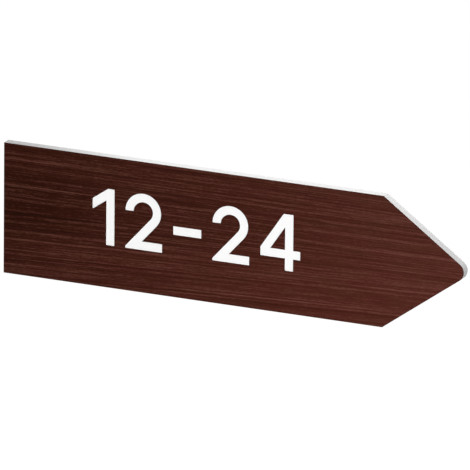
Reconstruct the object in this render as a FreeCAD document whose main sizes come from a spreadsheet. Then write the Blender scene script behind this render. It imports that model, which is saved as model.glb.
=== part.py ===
"""Directional arrow sign: a rigid white plastic board cut to an arrow outline, with a thin wood-effect
layer bonded over its whole front.

Frame: +X runs along the sign towards the arrow's point, +Y runs from the face to the back, +Z is up.
The origin is the centre of the back, the face that is fixed to a wall or a post plate.
All sizes are millimetres.
"""
import FreeCAD
import Part
import Sketcher
import math
import os

# Driving dimensions, as alias, value and what it measures
SIZES = [
    ("plate_length", 293.0, "square end to the rounded point"),
    ("plate_height", 80.0, "top edge to bottom edge"),
    ("head_length", 51.0, "the two shoulders, where the head starts, to the rounded point"),
    ("tip_radius", 6.0, "rounding of the arrow's point"),
    ("core_thickness", 6.0, "white board"),
    ("face_thickness", 0.3, "wood-effect layer on the front of the board"),
    ("edge_break", 0.3, "chamfer that takes the sharp edge off the board's back"),
]

HORIZONTAL_AXIS = -1
ORIGIN_POINT = -1
START, END, CENTRE = 1, 2, 3


def make_sheet(doc):
    """The spreadsheet that holds every driving dimension, one row each."""
    sheet = doc.addObject("Spreadsheet::Sheet", "sizes")
    for row, (alias, value, meaning) in enumerate(SIZES, start=1):
        sheet.set(f"A{row}", alias)
        sheet.set(f"B{row}", str(value))
        sheet.setAlias(f"B{row}", alias)
        sheet.set(f"C{row}", meaning)
    doc.recompute()
    return sheet


def outline_guess(sheet):
    """Corner, shoulder, tangent and tip-centre points of the arrow's upper half, as the sketch starts out."""
    half_length = sheet.plate_length / 2
    half_height = sheet.plate_height / 2
    corner = FreeCAD.Vector(-half_length, half_height, 0)
    shoulder = FreeCAD.Vector(half_length - sheet.head_length, half_height, 0)
    centre = FreeCAD.Vector(half_length - sheet.tip_radius, 0, 0)
    to_centre = centre - shoulder
    heading = math.atan2(to_centre.y, to_centre.x) + math.asin(sheet.tip_radius / to_centre.Length)
    reach = math.sqrt(to_centre.Length**2 - sheet.tip_radius**2)
    tangent = shoulder + FreeCAD.Vector(reach * math.cos(heading), reach * math.sin(heading), 0)
    return corner, shoulder, tangent, centre


def below(point):
    """The point's mirror image under the sign's long axis."""
    return FreeCAD.Vector(point.x, -point.y, 0)


def draw_outline(sketch, sheet):
    """The arrow: a square end, two long edges, two slanted head edges and a rounded point."""
    corner, shoulder, tangent, centre = outline_guess(sheet)
    sweep = math.atan2(tangent.y, tangent.x - centre.x)
    tip_circle = Part.Circle(centre, FreeCAD.Vector(0, 0, 1), sheet.tip_radius)

    square_end = sketch.addGeometry(Part.LineSegment(below(corner), corner))
    top_edge = sketch.addGeometry(Part.LineSegment(corner, shoulder))
    upper_slant = sketch.addGeometry(Part.LineSegment(shoulder, tangent))
    tip = sketch.addGeometry(Part.ArcOfCircle(tip_circle, -sweep, sweep))
    lower_slant = sketch.addGeometry(Part.LineSegment(below(tangent), below(shoulder)))
    bottom_edge = sketch.addGeometry(Part.LineSegment(below(shoulder), below(corner)))

    def add(*constraint):
        return sketch.addConstraint(Sketcher.Constraint(*constraint))

    add("Coincident", square_end, END, top_edge, START)
    add("Coincident", top_edge, END, upper_slant, START)
    add("Tangent", upper_slant, END, tip, END)
    add("Tangent", tip, START, lower_slant, START)
    add("Coincident", lower_slant, END, bottom_edge, START)
    add("Coincident", bottom_edge, END, square_end, START)
    add("Horizontal", top_edge)
    add("Symmetric", top_edge, START, bottom_edge, END, HORIZONTAL_AXIS)
    add("Symmetric", top_edge, END, bottom_edge, START, HORIZONTAL_AXIS)
    add("PointOnObject", tip, CENTRE, HORIZONTAL_AXIS)

    def bind(name, expression, *constraint):
        index = add(*constraint)
        sketch.renameConstraint(index, name)
        sketch.setExpression(f"Constraints.{name}", expression)

    half_length = sheet.plate_length / 2
    tip_from_origin = half_length - sheet.tip_radius
    tip_from_shoulder = sheet.head_length - sheet.tip_radius
    bind("height", "sizes.plate_height",
         "DistanceY", square_end, START, square_end, END, sheet.plate_height)
    bind("square_end_at", "sizes.plate_length / 2",
         "DistanceX", top_edge, START, ORIGIN_POINT, START, half_length)
    bind("tip_at", "sizes.plate_length / 2 - sizes.tip_radius",
         "DistanceX", ORIGIN_POINT, START, tip, CENTRE, tip_from_origin)
    bind("head", "sizes.head_length - sizes.tip_radius",
         "DistanceX", top_edge, END, tip, CENTRE, tip_from_shoulder)
    bind("rounding", "sizes.tip_radius", "Radius", tip, sheet.tip_radius)


def plane_of(body, role):
    """One of the body's own origin planes, found by its role."""
    return next(plane for plane in body.Origin.OriginFeatures if plane.Role == role)


def arrow_layer(doc, sheet, label, offset, thickness):
    """A body with the arrow's outline, from offset in front of the sign's back to thickness beyond that."""
    body = doc.addObject("PartDesign::Body", label)
    body.Label = label
    sketch = body.newObject("Sketcher::SketchObject", f"{label}_outline")
    sketch.AttachmentSupport = (plane_of(body, "XZ_Plane"), [""])
    sketch.MapMode = "FlatFace"
    sketch.setExpression("AttachmentOffset.Base.z", offset)
    draw_outline(sketch, sheet)
    pad = body.newObject("PartDesign::Pad", f"{label}_pad")
    pad.Profile = sketch
    pad.setExpression("Length", thickness)
    doc.recompute()
    return body


def make_core_plate(doc, sheet):
    """The white board, from the back forwards, with its back edges broken."""
    body = arrow_layer(doc, sheet, "core_plate", "0 mm", "sizes.core_thickness")
    pad = body.Tip
    faces = enumerate(pad.Shape.Faces, start=1)
    back_number, _ = max(faces, key=lambda numbered: numbered[1].CenterOfMass.y)
    chamfer = body.newObject("PartDesign::Chamfer", "back_edge_break")
    chamfer.Base = (pad, [f"Face{back_number}"])
    chamfer.setExpression("Size", "sizes.edge_break")
    doc.recompute()
    return body


def make_wood_face(doc, sheet):
    """The wood-effect layer, flush with the board's edges and seated on its front."""
    return arrow_layer(doc, sheet, "wood_face", "sizes.core_thickness", "sizes.face_thickness")


def check(doc, bodies):
    """Stops before anything is written if an object failed or a piece is not one sound solid."""
    for thing in doc.Objects:
        if {"Invalid", "Error"} & set(thing.State):
            raise RuntimeError(f"{thing.Label} failed: {thing.State}")
    for body in bodies:
        if body.Shape.isNull() or not body.Shape.isValid() or len(body.Shape.Solids) != 1:
            raise RuntimeError(f"{body.Label} is not one valid solid")


def main():
    doc = FreeCAD.newDocument("arrow_sign")
    sheet = make_sheet(doc)
    bodies = [make_core_plate(doc, sheet), make_wood_face(doc, sheet)]
    doc.recompute()
    check(doc, bodies)
    os.makedirs("parts", exist_ok=True)
    for body in bodies:
        body.Shape.exportStep(os.path.join("parts", f"{body.Label}.step"))
        print(body.Label, f"volume {body.Shape.Volume:.1f} mm3", body.Shape.BoundBox)


main()
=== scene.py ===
"""Looks of the directional arrow sign, in metres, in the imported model's own frame.

The sign's face looks towards -Y and its point towards +X. The numerals are routed through the dark
wood-effect layer into the white board under it.
"""
import math

import bmesh
import bpy
from mathutils import Matrix, Vector


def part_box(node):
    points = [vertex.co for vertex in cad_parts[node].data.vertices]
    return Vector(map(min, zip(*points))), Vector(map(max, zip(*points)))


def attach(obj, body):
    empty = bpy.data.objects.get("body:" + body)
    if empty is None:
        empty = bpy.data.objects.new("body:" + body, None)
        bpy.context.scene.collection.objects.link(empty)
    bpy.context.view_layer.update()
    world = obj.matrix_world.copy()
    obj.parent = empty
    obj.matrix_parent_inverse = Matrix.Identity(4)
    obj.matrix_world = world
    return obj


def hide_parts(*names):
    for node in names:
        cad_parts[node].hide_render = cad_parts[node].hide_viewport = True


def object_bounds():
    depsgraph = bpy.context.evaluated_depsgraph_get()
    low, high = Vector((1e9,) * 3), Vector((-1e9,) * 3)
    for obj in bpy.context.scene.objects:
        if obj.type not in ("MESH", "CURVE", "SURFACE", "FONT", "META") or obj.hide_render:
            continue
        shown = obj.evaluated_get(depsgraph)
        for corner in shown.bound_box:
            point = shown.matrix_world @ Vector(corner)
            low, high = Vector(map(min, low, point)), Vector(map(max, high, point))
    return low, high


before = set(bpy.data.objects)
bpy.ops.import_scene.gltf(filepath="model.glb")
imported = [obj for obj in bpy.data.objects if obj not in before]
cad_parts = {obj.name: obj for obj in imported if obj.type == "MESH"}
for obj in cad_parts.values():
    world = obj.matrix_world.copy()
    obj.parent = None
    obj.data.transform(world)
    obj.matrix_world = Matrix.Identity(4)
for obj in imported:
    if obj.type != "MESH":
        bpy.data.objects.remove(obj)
cad_low, cad_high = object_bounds()

MM = 0.001
scene = bpy.context.scene

# Camera: the photograph's viewing angle, with the optical axis at the middle of the picture
IMAGE_SIDE = 470
SENSOR_MM = 36.0
CAMERA_AZIMUTH = math.radians(23.71)
CAMERA_ELEVATION = math.radians(17.73)
CAMERA_ROLL = math.radians(0.52)
CAMERA_DISTANCE = 8.55
PIXELS_PER_MM = 1.7168
LOOKED_AT = Vector((1.73, -6.3, 3.45)) * MM

# Legend: plain numerals, and where the middle of their row is
LEGEND = "12-24"
NUMERAL_HEIGHT = 34.6 * MM
STROKE = 5.3 * MM
NUMERAL_SPACING = 7.0 * MM
LEGEND_FROM_SQUARE_END = 123.4 * MM
LEGEND_ABOVE_AXIS = 3.3 * MM
ARC_STEPS = 48

# Routing: an outward corner that turns by the least turn or more gets the cutter's radius
ROUTED_INTO_BOARD = 0.25 * MM
CUTTER_CLEARANCE = 1.0 * MM
CUTTER_RADIUS = 0.4 * MM
LEAST_TURN = math.radians(20)
CORNER_STEPS = 8

# Meshes: vertices this near are one, faces this flat are one, and edges this shallow look smooth
WELD = 0.001 * MM
FLAT_BELOW = math.radians(1)
SMOOTH_BELOW = math.radians(25)

# Rounding of the face's rim, where a profile of a half is a circle
RIM_ROUNDING = 0.06 * MM
RIM_STEPS = 3
RIM_PROFILE = 0.5

# Wood print: screen colours of a dark mark, the ground and a light mark, in the dark and in the pale wood
DARK_WOOD = [(26, 6, 1), (42, 14, 5), (79, 46, 37)]
PALE_WOOD = [(60, 23, 15), (78, 37, 28), (105, 62, 54)]

# Grain that makes a full dark or light mark, and the fall in contrast with each millimetre to the right
MARK_RANGE = 2.0
CONTRAST_FALL = 0.0012

# Pale wood: its share at the sign's middle, and its growth with each millimetre to the right and
# downwards, the growth being painted light that makes the face paler where it is lit more
PALE_SHARE = 0.515
PAINTED_LIGHT_ALONG = 0.0025
PAINTED_LIGHT_DOWN = 0.0028

# How much faster the share of pale wood, painted light here, grows downwards with each millimetre to the
# right
PAINTED_LIGHT_DOWN_GROWTH = 1 / 300

# Dark band: height above the long axis, half width and right end, in millimetres
BAND_HEIGHT = 7.0
BAND_HALF_WIDTH = 20.0
BAND_END = 130.0

# Share of pale wood that the dark band takes away with each millimetre to the left of its right end
BAND_DEPTH = 0.0008

# Grain lines: level in the upper half, and rising to the right in the lower half
LINE_RISE = 0.037
RISE_CHANGES_OVER = 12.0

# Noise of the print: length and width of a mark in millimetres, a seed, and how strong it is
BENDS = [(150.0, 60.0, 3.1, 1.0), (40.0, 9.0, 7.7, 0.6)]
GRAIN = {
    "bands": (260.0, 7.0, 11.3, 1.0),
    "long streaks": (300.0, 1.0, 23.9, 4.1),
    "streaks": (70.0, 0.7, 31.7, 3.7),
    "dashes": (10.0, 0.6, 41.3, 2.4),
    "flecks": (2.4, 0.6, 37.1, 2.4),
}
PORES = (6.0, 0.3, 57.1, 1.8)
HUE_DRIFT = (26.0, 7.0, 71.9, 0.015)
PRINT_DETAIL = 1.0

# Surface of the print, with a pore wherever the noise of the pores is above its level
PORE_LEVEL = 0.18
PRINT_RELIEF = 0.012 * MM
PRINT_RELIEF_STRENGTH = 0.6
PRINT_ROUGHNESS = 0.5
PORE_ROUGHNESS = 0.3
PRINT_SPECULAR = 0.03

# White board: its two whites, the clouds of one in the other, and the cutter marks on its edges
BOARD_WHITES = [(0.880, 0.881, 0.878, 1), (0.915, 0.915, 0.911, 1)]
CLOUD_SIZE = 28 * MM
CUTTER_MARK_WIDTH = 0.3 * MM
CUTTER_MARK_LENGTH = 9 * MM
CUTTER_MARK_RELIEF = 0.02 * MM
CUTTER_MARK_STRENGTH = 0.2
BOARD_DETAIL = 2.0
BOARD_ROUGHNESS = 0.5
CUTTER_MARK_ROUGHNESS = 0.2
BOARD_SPECULAR = 0.12

# Studio: the floor's drop below the sign, its size and shade, and the light from all round
FLOOR_DROP = 0.45
FLOOR_HALF_SIDE = 30.0
FLOOR_SHADE = 0.5
AMBIENT = 0.345
WHITE = (1, 1, 1, 1)

# Softboxes: place, aim and side in metres, power in watts, and how wide the light spreads
SOFTBOXES = {
    "overhead": ((0.02, 0.05, 0.16), (0.02, 0, 0.03), 0.24, 0.085, math.radians(60)),
    "front": ((0.22, -1.1, 0.09), (0, 0, 0), 0.7, 10.15, math.pi),
    "right": ((0.7, -0.2, 0.7), (0.13, 0, 0), 0.4, 0.96, math.pi),
    "behind": ((-0.5, 1.0, -0.06), (0, 0, 0), 0.5, 6.6, math.pi),
}


def node_maker(tree):
    """A function that adds a node to the tree, with its settings, and its inputs set or linked."""
    def make(kind, inputs=None, **settings):
        node = tree.nodes.new(kind)
        for name, value in settings.items():
            setattr(node, name, value)
        for name, value in (inputs or {}).items():
            if isinstance(value, bpy.types.NodeSocket):
                tree.links.new(value, node.inputs[name])
            else:
                node.inputs[name].default_value = value
        return node
    return make


def math_maker(make):
    """A function that adds one math node and gives back its result."""
    def calculate(operation, *values):
        return make("ShaderNodeMath", dict(enumerate(values)), operation=operation).outputs[0]
    return calculate


def new_material(name):
    """An empty node material, and makers for its nodes and its math nodes."""
    material = bpy.data.materials.new(name)
    material.use_nodes = True
    tree = material.node_tree
    tree.nodes.clear()
    make = node_maker(tree)
    return material, make, math_maker(make)


def linear(red, green, blue):
    """A screen colour, each part from 0 to 255, in the linear values that a shader takes."""
    def part(value):
        share = value / 255
        if share <= 0.04045:
            return share / 12.92
        return ((share + 0.055) / 1.055) ** 2.4
    return part(red), part(green), part(blue), 1


def colour_ramp(make, share, colours):
    """Evenly spaced colours over a share from 0 to 1."""
    ramp = make("ShaderNodeValToRGB", {"Fac": share})
    stops = ramp.color_ramp.elements
    while len(stops) < len(colours):
        stops.new(0.5)
    for number, colour in enumerate(colours):
        stops[number].position = number / (len(colours) - 1)
        stops[number].color = colour
    return ramp.outputs["Color"]


def viewing_ray(make, calc):
    """1 for a ray that looks, whether straight, off a gloss or through glass, and 0 for any other ray."""
    path = make("ShaderNodeLightPath").outputs
    seen = calc("MAXIMUM", path["Is Camera Ray"], path["Is Glossy Ray"])
    return calc("MAXIMUM", seen, path["Is Transmission Ray"])


def wood_effect_material():
    """Dark red-brown wood print: fine streaks that fan out a little, short pores, a drifting tone, and
    painted light that makes it paler to the right and downwards.
    """
    material, make, calc = new_material("wood_effect")
    place = make("ShaderNodeTexCoord").outputs["Object"]
    axes = make("ShaderNodeSeparateXYZ", {"Vector": place}).outputs
    along = calc("DIVIDE", axes["X"], MM)
    across = calc("DIVIDE", axes["Z"], MM)

    def times(value, gain):
        return calc("MULTIPLY", value, gain)

    def total(*parts):
        result = parts[0]
        for part in parts[1:]:
            result = calc("ADD", result, part)
        return result

    def above_zero(value):
        return calc("MAXIMUM", value, 0.0)

    def noise(line, length, width, seed, strength):
        """Noise about zero, in marks of that length and width along the line."""
        where = make("ShaderNodeCombineXYZ", {
            "X": calc("DIVIDE", along, length),
            "Y": calc("DIVIDE", line, width),
            "Z": seed,
        }).outputs[0]
        texture = make("ShaderNodeTexNoise", {"Vector": where, "Scale": 1.0, "Detail": PRINT_DETAIL})
        return times(calc("SUBTRACT", texture.outputs["Fac"], 0.5), strength)

    # Grain lines
    lower = times(calc("SUBTRACT", 1.0, calc("TANH", times(across, 1 / RISE_CHANGES_OVER))), 0.5)
    rise = times(lower, LINE_RISE)
    bends = [noise(across, *bend) for bend in BENDS]
    line = calc("SUBTRACT", total(across, *bends), times(along, rise))

    # Marks along the lines
    layers = {name: noise(line, *layer) for name, layer in GRAIN.items()}
    pores = above_zero(calc("SUBTRACT", noise(line, *PORES), PORE_LEVEL))
    grain = calc("SUBTRACT", total(*layers.values()), pores)
    contrast = total(1.0, times(along, -CONTRAST_FALL))
    mark = total(0.5, times(calc("MULTIPLY", grain, contrast), 0.5 / MARK_RANGE))

    # Drift from the dark wood to the pale wood: the print's own tone and dark band, with painted light
    # that makes the print paler to the right and downwards
    off_band = times(calc("SUBTRACT", line, BAND_HEIGHT), 1 / BAND_HALF_WIDTH)
    in_band = above_zero(calc("SUBTRACT", 1.0, calc("MULTIPLY", off_band, off_band)))
    band = calc("MULTIPLY", in_band, above_zero(calc("SUBTRACT", BAND_END, along)))
    upwards = calc("MULTIPLY", across, total(1.0, times(along, PAINTED_LIGHT_DOWN_GROWTH)))
    tone_and_painted_light = total(
        PALE_SHARE,
        times(along, PAINTED_LIGHT_ALONG),
        times(upwards, -PAINTED_LIGHT_DOWN),
        times(band, -BAND_DEPTH),
    )
    print_colour = make("ShaderNodeMixRGB", {
        "Fac": calc("MINIMUM", above_zero(tone_and_painted_light), 1.0),
        "Color1": colour_ramp(make, mark, [linear(*colour) for colour in DARK_WOOD]),
        "Color2": colour_ramp(make, mark, [linear(*colour) for colour in PALE_WOOD]),
    }).outputs[0]
    hue = total(0.5, noise(line, *HUE_DRIFT))
    colour = make("ShaderNodeHueSaturation", {"Color": print_colour, "Hue": hue})

    # Surface
    relief = make("ShaderNodeBump", {
        "Height": calc("SUBTRACT", layers["streaks"], pores),
        "Strength": PRINT_RELIEF_STRENGTH,
        "Distance": PRINT_RELIEF,
    })
    shader = make("ShaderNodeBsdfPrincipled", {
        "Base Color": colour.outputs[0],
        "Roughness": total(PRINT_ROUGHNESS, times(pores, PORE_ROUGHNESS)),
        "Specular IOR Level": PRINT_SPECULAR,
        "Normal": relief.outputs[0],
    })
    make("ShaderNodeOutputMaterial", {"Surface": shader.outputs["BSDF"]})
    return material


def white_board_material():
    """White sheet plastic: faint clouds, and a fine grain drawn out into cutter marks on the edges."""
    material, make, calc = new_material("white_board")
    place = make("ShaderNodeTexCoord").outputs["Object"]

    def noise(width, length):
        """Noise in marks of that width, and of that length through the board."""
        where = make("ShaderNodeMapping", {
            "Vector": place,
            "Scale": (1 / width, 1 / length, 1 / width),
        }).outputs[0]
        texture = make("ShaderNodeTexNoise", {"Vector": where, "Scale": 1.0, "Detail": BOARD_DETAIL})
        return texture.outputs["Fac"]

    clouds = noise(CLOUD_SIZE, CLOUD_SIZE)
    marks = noise(CUTTER_MARK_WIDTH, CUTTER_MARK_LENGTH)
    relief = make("ShaderNodeBump", {
        "Height": marks,
        "Strength": CUTTER_MARK_STRENGTH,
        "Distance": CUTTER_MARK_RELIEF,
    })
    shader = make("ShaderNodeBsdfPrincipled", {
        "Base Color": colour_ramp(make, clouds, BOARD_WHITES),
        "Roughness": calc("ADD", BOARD_ROUGHNESS, calc("MULTIPLY", marks, CUTTER_MARK_ROUGHNESS)),
        "Specular IOR Level": BOARD_SPECULAR,
        "Normal": relief.outputs[0],
    })
    make("ShaderNodeOutputMaterial", {"Surface": shader.outputs["BSDF"]})
    return material


def floor_material():
    """Pale floor, lifted to white where it is looked at, so that a shadow on it still shows."""
    material, make, calc = new_material("pale_floor")
    lift = make("ShaderNodeEmission", {
        "Color": WHITE,
        "Strength": calc("MULTIPLY", viewing_ray(make, calc), 1.0 - FLOOR_SHADE * AMBIENT),
    })
    paint = make("ShaderNodeBsdfDiffuse", {"Color": (FLOOR_SHADE, FLOOR_SHADE, FLOOR_SHADE, 1)})
    both = make("ShaderNodeAddShader", {0: paint.outputs[0], 1: lift.outputs[0]})
    make("ShaderNodeOutputMaterial", {"Surface": both.outputs[0]})
    return material


def link(piece):
    """Puts the piece in the scene, and gives it back."""
    scene.collection.objects.link(piece)
    return piece


def welded(name, source):
    """A new piece with the source mesh's shape, as one closed skin with its flat faces whole."""
    shape = bmesh.new()
    shape.from_mesh(source)
    bmesh.ops.remove_doubles(shape, verts=shape.verts, dist=WELD)
    bmesh.ops.dissolve_limit(shape, angle_limit=FLAT_BELOW, verts=shape.verts, edges=shape.edges)
    shape.verts.index_update()
    corners = [vertex.co.copy() for vertex in shape.verts]
    faces = [[vertex.index for vertex in face.verts] for face in shape.faces]
    shape.free()
    mesh = bpy.data.meshes.new(name)
    mesh.from_pydata(corners, [], faces)
    return link(bpy.data.objects.new(name, mesh))


def freeze(piece):
    """Writes the piece's modifiers into its mesh."""
    graph = bpy.context.evaluated_depsgraph_get()
    mesh = bpy.data.meshes.new_from_object(piece.evaluated_get(graph))
    piece.modifiers.clear()
    piece.data = mesh


def arc(centre, radius, start, stop, steps=ARC_STEPS):
    """Points along an arc, from one angle to the other."""
    angles = [start + (stop - start) * step / steps for step in range(steps + 1)]
    return [
        (centre.x + radius * math.cos(angle), centre.y + radius * math.sin(angle))
        for angle in angles
    ]


def eased(outline):
    """The outline, which runs anticlockwise, with its outward corners as round as the cutter."""
    points = [Vector(point) for point in outline]
    result = []
    for number, corner in enumerate(points):
        arriving = (corner - points[number - 1]).normalized()
        leaving = (points[(number + 1) % len(points)] - corner).normalized()
        turn = math.atan2(arriving.cross(leaving), arriving.dot(leaving))
        if turn < LEAST_TURN:
            result.append(outline[number])
            continue
        inward = Vector((-arriving.y, arriving.x))
        centre = corner - arriving * CUTTER_RADIUS * math.tan(turn / 2) + inward * CUTTER_RADIUS
        start = math.atan2(-inward.y, -inward.x)
        result += arc(centre, CUTTER_RADIUS, start, start + turn, CORNER_STEPS)
    return result


def numeral_one():
    """A stem with a slanted flag at its top left."""
    flag_reach, flag_start, flag_drop = 8.8 * MM, 1.2 * MM, 7.0 * MM
    slope = flag_drop / (flag_reach + flag_start)
    flag_depth = STROKE * math.hypot(1, slope)
    stem = flag_reach
    return [[
        (stem, 0),
        (stem + STROKE, 0),
        (stem + STROKE, NUMERAL_HEIGHT),
        (stem + flag_start, NUMERAL_HEIGHT),
        (0, NUMERAL_HEIGHT - flag_drop),
        (0, NUMERAL_HEIGHT - flag_drop - flag_depth),
        (stem, NUMERAL_HEIGHT - flag_drop - flag_depth + slope * stem),
    ]]


def numeral_two():
    """A round bowl, a slant that leaves it as a tangent, and a foot."""
    bowl, foot_length, slant_foot = 11.4 * MM, 23.6 * MM, 2.4 * MM
    centre = Vector((bowl, NUMERAL_HEIGHT - bowl))
    to_centre = centre - Vector((slant_foot, 0))
    slant = math.atan2(to_centre.y, to_centre.x) - math.asin((bowl - STROKE / 2) / to_centre.length)
    leaves = slant - math.pi / 2
    outer = arc(centre, bowl, leaves, math.pi)
    inner = arc(centre, bowl - STROKE, math.pi, leaves)
    half_width = STROKE / 2 / math.sin(slant)
    slant_left = (half_width - slant_foot) * math.tan(slant)
    slant_right = slant_foot + half_width + STROKE / math.tan(slant)
    foot = [(0, slant_left), (0, 0), (foot_length, 0), (foot_length, STROKE), (slant_right, STROKE)]
    return [outer + inner + foot]


def numeral_four():
    """A stem, a crossbar and a slant, with the three-cornered space between them."""
    stem, width, bar, apex = 15.6 * MM, 25.4 * MM, 7.4 * MM, 6.2 * MM
    right = stem + STROKE
    bar_top = bar + STROKE
    slant = Vector((right - apex, NUMERAL_HEIGHT - bar_top)).normalized()
    inside = STROKE / slant.y
    outline = [
        (stem, 0), (right, 0), (right, bar), (width, bar), (width, bar_top), (right, bar_top),
        (right, NUMERAL_HEIGHT), (right - apex, NUMERAL_HEIGHT), (0, bar_top), (0, bar), (stem, bar),
    ]
    space = [(inside, bar_top), (stem, bar_top), (stem, bar_top + (stem - inside) * slant.y / slant.x)]
    return [outline, space]


def dash():
    """A bar a little below the numerals' mid-height."""
    length, middle = 18.0 * MM, 14.8 * MM
    low, high = middle - STROKE / 2, middle + STROKE / 2
    return [[(0, low), (length, low), (length, high), (0, high)]]


SHAPES = {"1": numeral_one, "2": numeral_two, "4": numeral_four, "-": dash}


def legend_outlines():
    """Every outline of the legend, set in a row from x = 0, and the row's length."""
    outlines = []
    reach = 0
    for character in LEGEND:
        outer, *spaces = SHAPES[character]()
        outlines += [[(x + reach, y) for x, y in outline] for outline in (eased(outer), *spaces)]
        reach += max(x for x, _ in outer) + NUMERAL_SPACING
    return outlines, reach - NUMERAL_SPACING


def legend_cutter(depth):
    """The numerals as closed prisms, from a little in front of the face to depth behind it."""
    outlines, reach = legend_outlines()
    corner = Vector((
        cad_low.x + LEGEND_FROM_SQUARE_END - reach / 2,
        cad_low.y - CUTTER_CLEARANCE,
        LEGEND_ABOVE_AXIS - NUMERAL_HEIGHT / 2,
    ))
    shape = bmesh.new()
    for outline in outlines:
        ring = [shape.verts.new(corner + Vector((x, 0, y))) for x, y in outline]
        for number, vertex in enumerate(ring):
            shape.edges.new((ring[number - 1], vertex))
    bmesh.ops.triangle_fill(shape, use_beauty=True, edges=shape.edges)
    prism = bmesh.ops.extrude_face_region(shape, geom=shape.faces, use_keep_orig=True)
    far_end = [item for item in prism["geom"] if isinstance(item, bmesh.types.BMVert)]
    bmesh.ops.translate(shape, verts=far_end, vec=(0, CUTTER_CLEARANCE + depth, 0))
    bmesh.ops.recalc_face_normals(shape, faces=shape.faces)
    mesh = bpy.data.meshes.new("legend_cutter")
    shape.to_mesh(mesh)
    shape.free()
    return link(bpy.data.objects.new("legend_cutter", mesh))


def rout(piece, cutter):
    """Cuts the numerals into the piece."""
    cut = piece.modifiers.new("rout", "BOOLEAN")
    cut.operation = "DIFFERENCE"
    cut.solver = "EXACT"
    cut.object = cutter
    freeze(piece)


def round_rim(piece, front):
    """Takes the sharpness off the edges round the piece's front."""
    shape = bmesh.new()
    shape.from_mesh(piece.data)
    rim = [edge for edge in shape.edges if all(abs(end.co.y - front) < WELD for end in edge.verts)]
    bmesh.ops.bevel(
        shape, geom=rim, offset=RIM_ROUNDING, segments=RIM_STEPS, profile=RIM_PROFILE, affect="EDGES")
    shape.to_mesh(piece.data)
    shape.free()


def dress(piece, node, material):
    """The piece stands for the node, in the node's material slot, and its round faces look round."""
    piece.data.shade_smooth()
    piece.data.set_sharp_from_angle(angle=SMOOTH_BELOW)
    piece.data.materials.clear()
    piece.data.materials.append(material)
    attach(piece, "root")
    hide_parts(node)


def make_sign():
    """The two layers, with the numerals routed through the face and into the board."""
    face = welded("routed_wood_face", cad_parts["wood_face"].data)
    board = welded("routed_white_board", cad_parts["core_plate"].data)
    face_low, face_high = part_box("wood_face")
    cutter = legend_cutter(face_high.y - face_low.y + ROUTED_INTO_BOARD)
    round_rim(face, face_low.y)
    rout(face, cutter)
    rout(board, cutter)
    bpy.data.objects.remove(cutter)
    dress(face, "wood_face", wood_effect_material())
    dress(board, "core_plate", white_board_material())


def make_floor():
    """A wide level floor, well below the sign."""
    mesh = bpy.data.meshes.new("floor")
    side, height = FLOOR_HALF_SIDE, cad_low.z - FLOOR_DROP
    corners = [(-side, -side, height), (side, -side, height), (side, side, height), (-side, side, height)]
    mesh.from_pydata(corners, [], [(0, 1, 2, 3)])
    mesh.materials.append(floor_material())
    link(bpy.data.objects.new("floor", mesh))


def make_world():
    """White where it is looked at, and a soft even light elsewhere."""
    world = bpy.data.worlds.new("studio")
    world.use_nodes = True
    world.node_tree.nodes.clear()
    make = node_maker(world.node_tree)
    calc = math_maker(make)
    strength = calc("ADD", AMBIENT, calc("MULTIPLY", viewing_ray(make, calc), 1.0 - AMBIENT))
    light = make("ShaderNodeBackground", {"Color": WHITE, "Strength": strength})
    make("ShaderNodeOutputWorld", {"Surface": light.outputs[0]})
    scene.world = world


def make_lights():
    """The softboxes, each turned to its aim."""
    for name, (place, aim, side, power, spread) in SOFTBOXES.items():
        lamp = bpy.data.lights.new(name, "AREA")
        lamp.shape = "SQUARE"
        lamp.size = side
        lamp.energy = power
        lamp.spread = spread
        box = link(bpy.data.objects.new(name, lamp))
        box.location = place
        box.rotation_euler = (Vector(aim) - Vector(place)).to_track_quat("-Z", "Y").to_euler()


def make_camera():
    """The camera, far off, with a lens that gives the photograph's scale at the point looked at."""
    camera = bpy.data.cameras.new("camera")
    camera.sensor_width = SENSOR_MM
    camera.lens = SENSOR_MM * PIXELS_PER_MM / MM * CAMERA_DISTANCE / IMAGE_SIDE
    backwards = Vector((
        math.sin(CAMERA_AZIMUTH) * math.cos(CAMERA_ELEVATION),
        -math.cos(CAMERA_AZIMUTH) * math.cos(CAMERA_ELEVATION),
        math.sin(CAMERA_ELEVATION),
    ))
    level = Vector((math.cos(CAMERA_AZIMUTH), math.sin(CAMERA_AZIMUTH), 0))
    upright = backwards.cross(level)
    right = math.cos(CAMERA_ROLL) * level + math.sin(CAMERA_ROLL) * upright
    up = math.cos(CAMERA_ROLL) * upright - math.sin(CAMERA_ROLL) * level
    turn = Matrix((right, up, backwards)).transposed().to_4x4()
    holder = link(bpy.data.objects.new("camera", camera))
    holder.matrix_world = Matrix.Translation(LOOKED_AT + backwards * CAMERA_DISTANCE) @ turn
    scene.camera = holder


scene.view_settings.view_transform = "Standard"
make_camera()
make_sign()
make_floor()
make_world()
make_lights()
